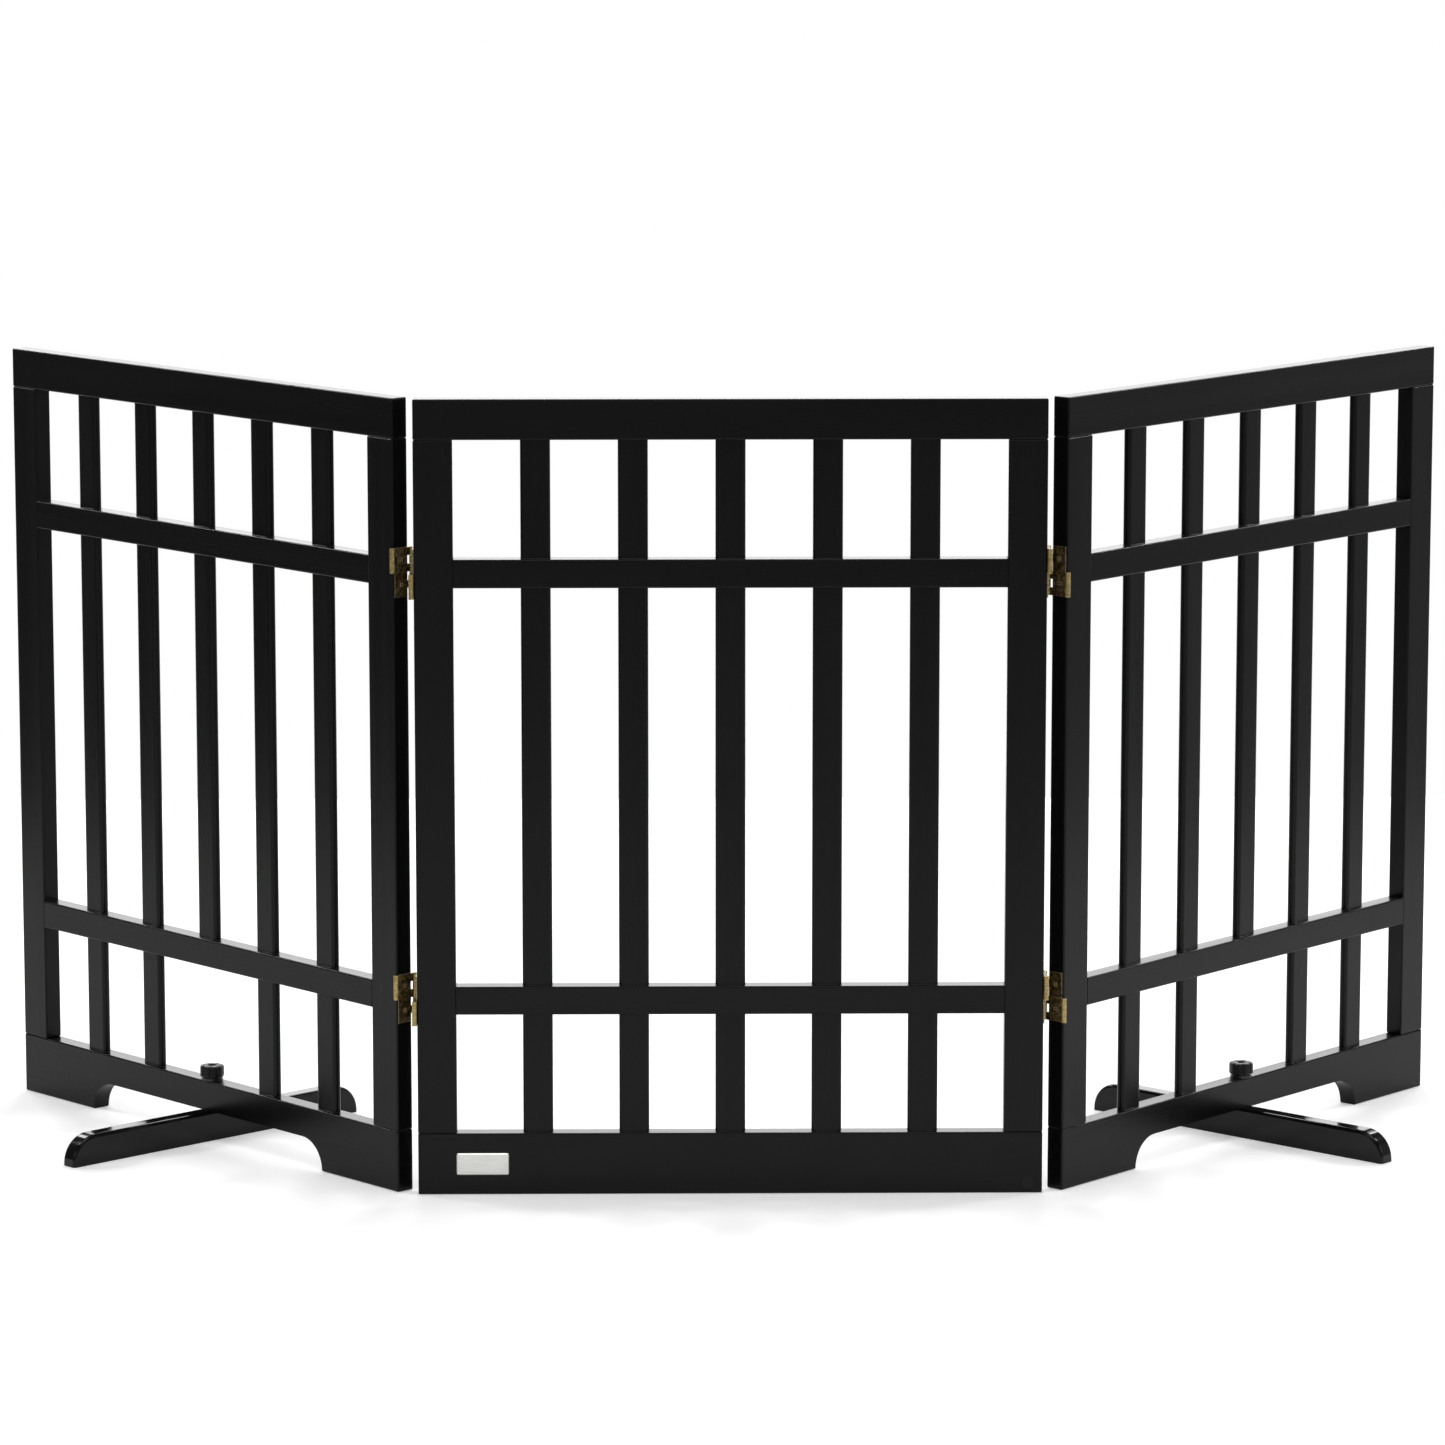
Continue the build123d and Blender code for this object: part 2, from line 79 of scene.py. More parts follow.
# ---- Camera ----
@dataclass(frozen=True)
class Viewpoint:
    """The camera, a long lens set back in front of the gate.

    Attributes:
        place: Where the camera stands, in metres.
        lens: Focal length in millimetres.
        sensor: Width of the sensor in millimetres.
        down: How far it is pitched down, in degrees.
        towards_right: How far it is turned to the gate's right, in degrees.
    """

    place: tuple[float, float, float] = (-0.0652, -4.6899, 1.1585)
    lens: float = 155.67
    sensor: float = 36.0
    down: float = 9.584
    towards_right: float = 0.723

    def build(self) -> bpy.types.Object:
        """Make the camera and give it to the scene.

        Returns:
            The camera object.
        """
        data = bpy.data.cameras.new("viewpoint")
        data.lens = self.lens
        data.sensor_width = self.sensor
        data.clip_start, data.clip_end = 0.05, 60.0
        camera = bpy.data.objects.new("viewpoint", data)
        camera.location = self.place
        camera.rotation_euler = (
            math.radians(90 - self.down),
            0.0,
            math.radians(-self.towards_right),
        )
        bpy.context.scene.collection.objects.link(camera)
        bpy.context.scene.camera = camera
        return camera


# ---- Shader building ----
class Shader:
    """A material's node tree under construction."""

    def __init__(self, name: str) -> None:
        """Start a material with a principled surface and object coordinates.

        Args:
            name: The material's name.
        """
        self.material = bpy.data.materials.new(name)
        self.material.use_nodes = True
        self.tree = self.material.node_tree
        self.tree.nodes.clear()
        self.surface = self.add("ShaderNodeBsdfPrincipled")
        output = self.add("ShaderNodeOutputMaterial")
        self.tree.links.new(self.surface.outputs["BSDF"], output.inputs["Surface"])
        self.place = self.add("ShaderNodeTexCoord").outputs["Object"]

    def add(self, kind: str, **settings: object) -> bpy.types.Node:
        """Add a node and set its properties.

        Args:
            kind: The node's type name.
            **settings: Properties of the node.

        Returns:
            The new node.
        """
        node = self.tree.nodes.new(kind)
        for name, value in settings.items():
            setattr(node, name, value)
        return node

    def feed(self, socket: Socket, value: object) -> None:
        """Link a socket to another, or set its own value.

        Args:
            socket: The input to fill.
            value: An output socket, a number, a colour or a vector.
        """
        if isinstance(value, bpy.types.NodeSocket):
            self.tree.links.new(value, socket)
        elif socket.type == "RGBA":
            socket.default_value = (*value, 1.0)
        else:
            socket.default_value = value

    def set(self, **values: float) -> None:
        """Set the surface's own sockets, named with underscores for spaces."""
        for name, value in values.items():
            self.surface.inputs[name.replace("_", " ")].default_value = value

    def maths(self, operation: str, first: object, second: object = 0.0) -> Socket:
        """Combine two numbers.

        Args:
            operation: The math node's operation.
            first: The first number or socket.
            second: The second number or socket.

        Returns:
            The result's socket.
        """
        node = self.add("ShaderNodeMath", operation=operation)
        self.feed(node.inputs[0], first)
        self.feed(node.inputs[1], second)
        return node.outputs[0]

    def span(
        self, value: Socket, low: float, high: float, out_low: float, out_high: float
    ) -> Socket:
        """Stretch a range of values smoothly onto another.

        Args:
            value: The value to map.
            low: Start of its range.
            high: End of its range.
            out_low: What the start becomes.
            out_high: What the end becomes.

        Returns:
            The mapped value's socket.
        """
        node = self.add("ShaderNodeMapRange", interpolation_type="SMOOTHSTEP")
        numbers = (value, low, high, out_low, out_high)
        for socket, number in zip(node.inputs[:5], numbers):
            self.feed(socket, number)
        return node.outputs[0]

    def blend(self, share: object, first: object, second: object) -> Socket:
        """Mix two colours.

        Args:
            share: How much of the second colour shows.
            first: The first colour.
            second: The second colour.

        Returns:
            The mixed colour's socket.
        """
        node = self.add("ShaderNodeMix", data_type="RGBA")
        self.feed(node.inputs[0], share)
        for slot, colour in zip(MIX_COLOUR_INPUTS, (first, second)):
            self.feed(node.inputs[slot], colour)
        return node.outputs[MIX_COLOUR_RESULT]

    def noise(
        self, place: Socket, scale: float, detail: float = 3.0, rough: float = 0.5
    ) -> Socket:
        """A cloud of noise between 0 and 1.

        Args:
            place: Coordinates to read it at.
            scale: Features per metre.
            detail: Octaves of finer noise.
            rough: How strong the finer octaves are.

        Returns:
            The noise value's socket.
        """
        node = self.add("ShaderNodeTexNoise")
        self.feed(node.inputs["Vector"], place)
        node.inputs["Scale"].default_value = scale
        node.inputs["Detail"].default_value = detail
        node.inputs["Roughness"].default_value = rough
        return node.outputs["Fac"]

    def turned(self, turn: tuple[float, float, float], stretch: float) -> Socket:
        """Coordinates whose X runs along a direction and is drawn out along it.

        Args:
            turn: Euler angles in degrees that turn X to the direction.
            stretch: How many times longer features are along it.

        Returns:
            The coordinates' socket.
        """
        node = self.add("ShaderNodeMapping", vector_type="TEXTURE")
        self.feed(node.inputs["Vector"], self.place)
        node.inputs["Rotation"].default_value = [math.radians(angle) for angle in turn]
        node.inputs["Scale"].default_value = (stretch, 1.0, 1.0)
        return node.outputs[0]

    def edges(self, reach: float, samples: int = 6) -> Socket:
        """A mask of the piece's own outer edges.

        Args:
            reach: How far the mask spreads from an edge, in metres.
            samples: Rays for each reading.

        Returns:
            A socket near 0 on flat faces, rising towards the edges.
        """
        node = self.add(
            "ShaderNodeAmbientOcclusion", inside=True, only_local=True, samples=samples
        )
        node.inputs["Distance"].default_value = reach
        return self.maths("SUBTRACT", 1.0, node.outputs["AO"])

    def recesses(self, reach: float, samples: int = 6) -> Socket:
        """A mask of corners and recesses, where grime and shade gather.

        Args:
            reach: How near another surface has to be, in metres.
            samples: Rays for each reading.

        Returns:
            A socket near 0 in the open, rising into recesses.
        """
        node = self.add("ShaderNodeAmbientOcclusion", samples=samples)
        node.inputs["Distance"].default_value = reach
        return self.maths("SUBTRACT", 1.0, node.outputs["AO"])

    def colour(self, value: object) -> None:
        """Give the surface its colour."""
        self.feed(self.surface.inputs["Base Color"], value)

    def roughness(self, value: object) -> None:
        """Give the surface its roughness."""
        self.feed(self.surface.inputs["Roughness"], value)

    def bump(self, height: Socket, depth: float, strength: float = 1.0) -> None:
        """Emboss the surface, over any bump it already has.

        Args:
            height: Heights between 0 and 1.
            depth: What a height of 1 stands for, in metres.
            strength: Share of the effect.
        """
        node = self.add("ShaderNodeBump")
        node.inputs["Strength"].default_value = strength
        node.inputs["Distance"].default_value = depth
        self.feed(node.inputs["Height"], height)
        normal = self.surface.inputs["Normal"]
        if normal.is_linked:
            self.feed(node.inputs["Normal"], normal.links[0].from_socket)
        self.feed(normal, node.outputs["Normal"])


# ---- Finishes ----
@dataclass(frozen=True)
class Lacquer:
    """Black satin lacquer sprayed on wood, with a trace of the grain showing through.

    Attributes:
        deep: Colour of the thickest film.
        thin: Colour where the film is a little thinner.
        worn: Colour along rubbed edges.
        sheen_low: Roughness of its glossiest patches.
        sheen_high: Roughness of its dullest patches.
        reflectance: Specular level of the film.
        coat: Weight of the gloss coat.
        coat_sheen: Roughness of the gloss coat.
        grain_pitch: Grain lines per metre across the board.
        grain_stretch: How much longer a grain line is than it is wide.
        grain_depth: Depth of the grain in metres.
        peel_pitch: Ripples of the sprayed film per metre.
        peel_depth: Depth of those ripples in metres.
        edge_reach: How far edge wear reaches in, in metres.
    """

    deep: Colour = (0.0018, 0.0018, 0.0021)
    thin: Colour = (0.0034, 0.0034, 0.0038)
    worn: Colour = (0.016, 0.0145, 0.0135)
    sheen_low: float = 0.24
    sheen_high: float = 0.30
    reflectance: float = 0.15
    coat: float = 0.03
    coat_sheen: float = 0.16
    grain_pitch: float = 620.0
    grain_stretch: float = 60.0
    grain_depth: float = 0.000022
    peel_pitch: float = 420.0
    peel_depth: float = 0.000005
    edge_reach: float = 0.0014

    def build(self, name: str, turn: tuple[float, float, float]) -> bpy.types.Material:
        """Mix the lacquer for boards whose grain runs one way.

        Args:
            name: The material's name.
            turn: Euler angles in degrees that turn X to the grain.

        Returns:
            The material.
        """
        shader = Shader(name)
        shader.set(Specular_IOR_Level=self.reflectance, Coat_Weight=self.coat)
        shader.set(Coat_Roughness=self.coat_sheen)
        along = shader.turned(turn, self.grain_stretch)
        grain = shader.noise(along, self.grain_pitch, 4.0, 0.6)
        flow = shader.noise(shader.turned(turn, 6.0), 24.0, 2.0)
        film = shader.blend(shader.span(flow, 0.3, 0.8, 0.0, 1.0), self.deep, self.thin)
        rubbed = shader.span(shader.edges(self.edge_reach), 0.3, 0.62, 0.0, 1.0)
        chafe = shader.span(shader.noise(shader.place, 160.0, 5.0, 0.7), 0.42, 0.68, 0.12, 0.62)
        wear = shader.maths("MULTIPLY", rubbed, chafe)
        shader.colour(shader.blend(wear, film, self.worn))
        patches = shader.span(
            shader.noise(along, 42.0, 4.0, 0.6), 0.3, 0.72, self.sheen_low, self.sheen_high
        )
        shader.roughness(shader.maths("ADD", patches, shader.maths("MULTIPLY", wear, 0.12)))
        shader.bump(shader.noise(shader.place, self.peel_pitch, 2.0), self.peel_depth)
        shader.bump(grain, self.grain_depth, 0.35)
        return shader.material


FOOT_LACQUER = Lacquer(sheen_low=0.08, sheen_high=0.12, coat=0.1)


@dataclass(frozen=True)
class HingeBrass:
    """Antiqued brass plate, dark on the leaves and rubbed bright on barrels and edges, with a
    painted glint along the edges and painted shade in the recesses.

    Attributes:
        patina: Darkest colour of the antiquing, also laid into recesses as painted shade.
        plate: Colour of the plate under it.
        bright: Colour of rubbed brass.
        polished_and_glint: Colour of the brass along its sharp edges, partly rubbed brass and
            partly a painted glint.
        barrel_reach: How far the rubbed barrels reach from their axes, in metres.
        fade: Width over which the rubbing fades out, in metres.
    """

    patina: Colour = (0.038, 0.027, 0.011)
    plate: Colour = (0.24, 0.175, 0.070)
    bright: Colour = (0.46, 0.345, 0.125)
    polished_and_glint: Colour = (0.86, 0.76, 0.52)
    barrel_reach: float = 0.00197
    fade: float = 0.0003

    def build(self, name: str, axes: list[Vector]) -> bpy.types.Material:
        """Plate the brass for pieces whose barrels lie on some upright axes.

        Args:
            name: The material's name.
            axes: A point on each barrel's axis, at rest.

        Returns:
            The material.
        """
        shader = Shader(name)
        shader.set(Metallic=0.8)
        flat = shader.add("ShaderNodeVectorMath", operation="MULTIPLY")
        shader.feed(flat.inputs[0], shader.place)
        shader.feed(flat.inputs[1], (1.0, 1.0, 0.0))
        nearest: object = 1.0
        for axis in axes:
            away = shader.add("ShaderNodeVectorMath", operation="DISTANCE")
            shader.feed(away.inputs[0], flat.outputs[0])
            shader.feed(away.inputs[1], (axis.x, axis.y, 0.0))
            nearest = shader.maths("MINIMUM", nearest, away.outputs["Value"])
        barrel = shader.span(
            nearest, self.barrel_reach, self.barrel_reach + self.fade, 1.0, 0.0
        )
        cloud = shader.noise(shader.place, 380.0, 6.0, 0.65)
        leaf = shader.blend(shader.span(cloud, 0.38, 0.7, 0.0, 1.0), self.patina, self.plate)
        # Sharp edges painted bright brass: partly real rubbing, partly a painted glint.
        rubbed = shader.span(shader.edges(0.0008), 0.3, 0.6, 0.0, 0.8)
        streaks = shader.span(shader.noise(shader.place, 900.0, 5.0, 0.75), 0.38, 0.6, 0.25, 1.0)
        shine = shader.maths("MULTIPLY", shader.maths("MULTIPLY", barrel, 0.95), streaks)
        metal = shader.blend(shine, leaf, self.bright)
        metal = shader.blend(rubbed, metal, self.polished_and_glint)
        # Recesses and gaps between parts darkened to the patina colour: partly real antiquing,
        # partly painted shade.
        patina_and_painted_shade = shader.span(shader.recesses(0.0016), 0.35, 0.8, 0.0, 0.9)
        shader.colour(shader.blend(patina_and_painted_shade, metal, self.patina))
        shine = shader.maths("MAXIMUM", shine, rubbed)
        dull = shader.span(cloud, 0.3, 0.7, 0.34, 0.52)
        shader.roughness(shader.maths("SUBTRACT", dull, shader.maths("MULTIPLY", shine, 0.14)))
        shader.bump(shader.noise(shader.place, 2400.0, 3.0), 0.00001)
        return shader.material


@dataclass(frozen=True)
class ScrewBrass:
    """Bright brass wood screws with dark drive slots.

    Attributes:
        bright: Colour of the clean brass.
        tarnish: Colour of its tarnished patches.
        slot: Colour of the shade in the drive and round the head.
    """

    bright: Colour = (0.86, 0.66, 0.36)
    tarnish: Colour = (0.34, 0.24, 0.11)
    slot: Colour = (0.012, 0.009, 0.006)

    def build(self, name: str) -> bpy.types.Material:
        """Make the screws' material.

        Args:
            name: The material's name.

        Returns:
            The material.
        """
        shader = Shader(name)
        shader.set(Metallic=0.55)
        cloud = shader.noise(shader.place, 900.0, 5.0, 0.6)
        metal = shader.blend(shader.span(cloud, 0.4, 0.75, 0.0, 0.7), self.bright, self.tarnish)
        drive = shader.span(shader.recesses(0.0008), 0.12, 0.45, 0.0, 1.0)
        rim = shader.span(shader.edges(0.0007), 0.3, 0.55, 0.0, 0.8)
        shader.colour(shader.blend(shader.maths("MAXIMUM", drive, rim), metal, self.slot))
        shader.roughness(shader.span(cloud, 0.3, 0.7, 0.2, 0.4))
        shader.bump(shader.noise(shader.place, 3200.0, 2.0), 0.000008)
        return shader.material


@dataclass(frozen=True)
class KnobPlastic:
    """Black moulded plastic with a fine spark texture, shinier where fingers rub it.

    Attributes:
        body: Colour of the plastic.
        dusty: Colour of its duller patches.
        rubbed: Colour along rubbed edges.
    """

    body: Colour = (0.0030, 0.0030, 0.0033)
    dusty: Colour = (0.0060, 0.0060, 0.0062)
    rubbed: Colour = (0.018, 0.0175, 0.017)

    def build(self, name: str) -> bpy.types.Material:
        """Make the knobs' material.

        Args:
            name: The material's name.

        Returns:
            The material.
        """
        shader = Shader(name)
        shader.set(Specular_IOR_Level=0.2)
        cloud = shader.noise(shader.place, 260.0, 4.0)
        body = shader.blend(shader.span(cloud, 0.35, 0.7, 0.0, 1.0), self.body, self.dusty)
        rim = shader.span(shader.edges(0.0009), 0.3, 0.65, 0.0, 0.55)
        shader.colour(shader.blend(rim, body, self.rubbed))
        dull = shader.span(cloud, 0.3, 0.7, 0.36, 0.5)
        shader.roughness(shader.maths("SUBTRACT", dull, shader.maths("MULTIPLY", rim, 0.14)))
        shader.bump(shader.noise(shader.place, 3000.0, 2.0), 0.00003, 0.6)
        return shader.material


@dataclass(frozen=True)
class BlackedSteel:
    """Black zinc plate on the bolts and washers, scuffed to steel along the edges.

    Attributes:
        plate: Colour of the plating.
        haze: Colour of its paler patches.
        scuffed: Colour of bare steel along the edges.
    """

    plate: Colour = (0.030, 0.030, 0.032)
    haze: Colour = (0.070, 0.070, 0.072)
    scuffed: Colour = (0.42, 0.42, 0.43)

    def build(self, name: str) -> bpy.types.Material:
        """Make the bolts' and washers' material.

        Args:
            name: The material's name.

        Returns:
            The material.
        """
        shader = Shader(name)
        shader.set(Metallic=1.0)
        cloud = shader.noise(shader.place, 520.0, 5.0, 0.6)
        plate = shader.blend(shader.span(cloud, 0.35, 0.7, 0.0, 1.0), self.plate, self.haze)
        scuff = shader.span(shader.edges(0.0005), 0.3, 0.65, 0.0, 0.5)
        shader.colour(shader.blend(scuff, plate, self.scuffed))
        shader.roughness(shader.span(cloud, 0.3, 0.7, 0.28, 0.46))
        shader.bump(shader.noise(shader.place, 2600.0, 3.0), 0.00001)
        return shader.material


@dataclass(frozen=True)
class BadgeMetal:
    """Satin silver plate, brushed along its length, with a shade inside its border.

    Attributes:
        silver: Colour between the brush lines.
        smoked: Colour along the brush lines.
        shade: Colour in the corner inside the border.
    """

    silver: Colour = (0.80, 0.80, 0.77)
    smoked: Colour = (0.58, 0.58, 0.565)
    shade: Colour = (0.16, 0.16, 0.16)

    def build(self, name: str) -> bpy.types.Material:
        """Make the badge's material.

        Args:
            name: The material's name.

        Returns:
            The material.
        """
        shader = Shader(name)
        shader.set(Metallic=0.85)
        lines = shader.noise(shader.turned((0, 0, 0), 40.0), 5200.0, 3.0, 0.6)
        cloud = shader.noise(shader.place, 120.0, 3.0)
        metal = shader.blend(shader.span(lines, 0.3, 0.75, 0.0, 0.7), self.silver, self.smoked)
        corner = shader.span(shader.recesses(0.0005), 0.25, 0.7, 0.0, 0.6)
        shader.colour(shader.blend(corner, metal, self.shade))
        shader.roughness(shader.span(cloud, 0.3, 0.7, 0.3, 0.42))
        shader.bump(lines, 0.00001, 0.5)
        return shader.material


@dataclass(frozen=True)
class Filler:
    """Hard filler under the lacquer, a touch duller and browner than the wood round it.

    Attributes:
        face: Colour of the filler.
        speck: Colour of the grit in it.
        rubbed: Colour along its edge.
    """

    face: Colour = (0.0030, 0.0028, 0.0027)
    speck: Colour = (0.011, 0.010, 0.009)
    rubbed: Colour = (0.02, 0.019, 0.018)

    def build(self, name: str) -> bpy.types.Material:
        """Make the filler's material.

        Args:
            name: The material's name.

        Returns:
            The material.
        """
        shader = Shader(name)
        shader.set(Specular_IOR_Level=0.24)
        grit = shader.noise(shader.place, 1500.0, 4.0, 0.7)
        face = shader.blend(shader.span(grit, 0.45, 0.8, 0.0, 1.0), self.face, self.speck)
        rim = shader.span(shader.edges(0.0005), 0.3, 0.65, 0.0, 0.6)
        shader.colour(shader.blend(rim, face, self.rubbed))
        shader.roughness(shader.span(grit, 0.3, 0.7, 0.42, 0.58))
        shader.bump(grit, 0.00004, 0.5)
        return shader.material


@dataclass(frozen=True)
class Beech:
    """Bare beech of the dowels, with short flecks along the grain.

    Attributes:
        pale: Colour of the wood.
        fleck: Colour of its flecks.
        chamfer: Colour along the ends' edges.
    """

    pale: Colour = (0.62, 0.43, 0.26)
    fleck: Colour = (0.36, 0.21, 0.11)
    chamfer: Colour = (0.74, 0.58, 0.40)

    def build(self, name: str) -> bpy.types.Material:
        """Make the dowels' material.

        Args:
            name: The material's name.

        Returns:
            The material.
        """
        shader = Shader(name)
        flecks = shader.noise(shader.turned((0, -90, 0), 8.0), 1400.0, 4.0, 0.6)
        wood = shader.blend(shader.span(flecks, 0.5, 0.75, 0.0, 1.0), self.pale, self.fleck)
        rim = shader.span(shader.edges(0.0005), 0.3, 0.65, 0.0, 0.5)
        shader.colour(shader.blend(rim, wood, self.chamfer))
        shader.roughness(shader.span(flecks, 0.3, 0.7, 0.55, 0.75))
        shader.bump(flecks, 0.00005)
        return shader.material


@dataclass(frozen=True)
class PaleFloor:
    """Plain matt floor, nearly white, lit a little from below so that shadows stay faint.

    Attributes:
        light: Its lightest colour.
        dim: Its darkest colour.
        glow: Strength of the light from below.
    """

    light: Colour = (0.90, 0.90, 0.90)
    dim: Colour = (0.87, 0.87, 0.875)
    glow: float = 0.22

    def build(self, name: str) -> bpy.types.Material:
        """Make the floor's material.

        Args:
            name: The material's name.

        Returns:
            The material.
        """
        shader = Shader(name)
        shader.set(Specular_IOR_Level=0.1, Emission_Strength=self.glow)
        shader.feed(shader.surface.inputs["Emission Color"], (1.0, 1.0, 1.0))
        cloud = shader.noise(shader.place, 1.4, 3.0)
        shader.colour(shader.blend(shader.span(cloud, 0.3, 0.7, 0.0, 1.0), self.light, self.dim))
        shader.roughness(shader.span(cloud, 0.3, 0.7, 0.75, 0.9))
        shader.bump(shader.noise(shader.place, 300.0, 2.0), 0.00002)
        return shader.material


# ---- Meshes ----
class Piece:
    """A mesh under construction, in metres."""

    def __init__(self) -> None:
        """Start with no points and no faces."""
        self.points: list[Vector] = []
        self.faces: list[tuple[int, ...]] = []

    def ring(self, rows: list[list[Vector]]) -> None:
        """Skin a closed ring whose sections are closed too.

        Args:
            rows: The sections in order, each a loop of as many points.
        """
        start = len(self.points)
        count = len(rows[0])
        for row in rows:
            self.points.extend(row)
        for i in range(len(rows)):
            after = (i + 1) % len(rows)
            for k in range(count):
                step = (k + 1) % count
                here, there = start + i * count, start + after * count
                self.faces.append((here + k, there + k, there + step, here + step))

    def build(
        self, name: str, material: bpy.types.Material, frame_of: Matrix
    ) -> bpy.types.Object:
        """Make the object.

        Args:
            name: The piece's name.
            material: Its finish.
            frame_of: Where its own coordinates lie in the gate's frame.

        Returns:
            The new object.
        """
        mesh = bpy.data.meshes.new(name)
        mesh.from_pydata([frame_of @ point for point in self.points], [], self.faces)
        mesh.polygons.foreach_set("use_smooth", [True] * len(mesh.polygons))
        mesh.materials.append(material)
        mesh.update()
        piece = bpy.data.objects.new(name, mesh)
        bpy.context.scene.collection.objects.link(piece)
        return piece


# ---- Sub-assemblies ----
@dataclass
class Workshop:
    """The gate's lacquers, each mixed once.

    Attributes:
        lacquers: The lacquer for each way the grain runs, by name.
    """

    lacquers: dict[str, bpy.types.Material] = field(default_factory=dict)

    def lacquer(
        self, panel_turn: float, grain: Grain, glossy: bool = False
    ) -> bpy.types.Material:
        """The lacquer for a board.

        Args:
            panel_turn: The panel's turn about Z at rest, in degrees.
            grain: How the grain runs in the panel.
            glossy: Whether it is the glossier coat of the feet.

        Returns:
            The material, mixed the first time it is asked for.
        """
        if grain is Grain.UPRIGHT:
            turn = (0.0, -90.0, 0.0)
        elif grain is Grain.ALONG:
            turn = (0.0, 0.0, panel_turn)
        else:
            turn = (0.0, 0.0, panel_turn + 90.0)
        coat, recipe = ("_gloss", FOOT_LACQUER) if glossy else ("", Lacquer())
        name = f"lacquer_{grain.value}_{round(turn[2]) % 180}{coat}"
        if name not in self.lacquers:
            self.lacquers[name] = recipe.build(name, turn)
        return self.lacquers[name]


def dress(node: str, material: bpy.types.Material) -> None:
    """Give a CAD node its finish.

    Args:
        node: The node's name.
        material: Its finish.
    """
    target = frame["nodes"][node]
    target.data.materials.clear()
    target.data.materials.append(material)
    log.info("%s wears %s", node, material.name)


@dataclass
class Panel:
    """One panel of the gate: its rails, stiles, slats and dowels.

    Attributes:
        name: The panel's name in the frame.
        turn: Its turn about Z at rest, in degrees.
        place: Where its own coordinates lie at rest.
        arched: Whether its middle slat stops at the lower mid rail.
        bead_radius: Radius of the lacquer bead where a slat enters a rail, in metres.
        bead_sink: How far a bead reaches into slat and rail, in metres.
        corner: Radius of a slat's long edges, in metres.
        corner_steps: Facets round each corner of a slat.
        bead_steps: Facets of the bead's hollow.
    """

    name: str
    turn: float
    place: Matrix
    arched: bool
    bead_radius: float = 0.00045
    bead_sink: float = 0.00015
    corner: float = 0.003
    corner_steps: int = 5
    bead_steps: int = 4

    @property
    def body(self) -> str:
        """The CAD body that carries the panel."""
        return f"{self.name}_panel"

    def dress(self, shop: Workshop, beech: bpy.types.Material) -> None:
        """Give every board and dowel its finish.

        Args:
            shop: Where the lacquers are mixed.
            beech: The finish of the dowels.
        """
        along = shop.lacquer(self.turn, Grain.ALONG)
        upright = shop.lacquer(self.turn, Grain.UPRIGHT)
        for rail in ("top_rail", "bottom_rail", "upper_mid_rail", "lower_mid_rail"):
            dress(f"{self.name}_{rail}", along)
        slats = [f"slat_{number}" for number in range(1, SLAT_COUNT + 1)]
        for board in ("left_stile", "right_stile", *slats):
            dress(f"{self.name}_{board}", upright)
        dress(f"{self.name}_dowels", beech)

    def outline(self, width: float, thickness: float) -> list[tuple[Vector, Vector]]:
        """Points round a slat's section, each with the direction out of it.

        Args:
            width: The slat's width in metres.
            thickness: Its thickness in metres.

        Returns:
            The points and directions, in order round the slat.
        """
        found = []
        corners = ((1, 1), (-1, 1), (-1, -1), (1, -1))
        for quarter, (across, deep) in enumerate(corners):
            half_width, half_thickness = width / 2 - self.corner, thickness / 2 - self.corner
            centre = Vector((across * half_width, deep * half_thickness, 0))
            for step in range(self.corner_steps + 1):
                angle = math.radians(90 * (quarter + step / self.corner_steps))
                out = Vector((math.cos(angle), math.sin(angle), 0))
                found.append((centre + self.corner * out, out))
        return found

    def bead(
        self, piece: Piece, x: float, z: float, rise: int, width: float, thickness: float
    ) -> None:
        """Lay the bead of lacquer round a slat where it enters a rail.

        Args:
            piece: The mesh it joins.
            x: The slat's middle along the panel.
            z: Height of the rail's face.
            rise: 1 where the slat leaves upwards, -1 where it leaves downwards.
            width: The slat's width in metres.
            thickness: Its thickness in metres.
        """
        radius, sink = self.bead_radius, self.bead_sink
        section = [(-sink, radius)]
        for step in range(self.bead_steps + 1):
            angle = math.radians(90 * step / self.bead_steps)
            section.append((radius * (1 - math.cos(angle)), radius * (1 - math.sin(angle))))
        section += [(radius, -sink), (-sink, -sink)]
        if rise < 0:
            section.reverse()
        rows = [
            [
                Vector((x, 0, z)) + point + out * away + Vector((0, 0, rise * up))
                for away, up in section
            ]
            for point, out in self.outline(width, thickness)
        ]
        piece.ring(rows)

    def build_beads(self, shop: Workshop) -> bpy.types.Object:
        """Build the beads of lacquer round all the slats.

        Args:
            shop: Where the lacquers are mixed.

        Returns:
            The beads, in one piece.
        """
        faces = [(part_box("centre_top_rail")[0].z, -1)]
        for rail in ("upper_mid_rail", "lower_mid_rail"):
            low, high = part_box(f"centre_{rail}")
            faces += [(high.z, 1), (low.z, -1)]
        faces.append((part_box("centre_bottom_rail")[1].z, 1))
        piece = Piece()
        for number in range(1, SLAT_COUNT + 1):
            low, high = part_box(f"centre_slat_{number}")
            size = high - low
            stopped = self.arched and number == MIDDLE_SLAT
            for z, rise in faces[:-2] if stopped else faces:
                self.bead(piece, (low.x + high.x) / 2, z, rise, size.x, size.y)
        beads = piece.build(
            f"{self.name}_lacquer_beads", shop.lacquer(self.turn, Grain.UPRIGHT), self.place
        )
        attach(beads, self.body)
        log.info("%s built with %d faces", beads.name, len(beads.data.polygons))
        return beads


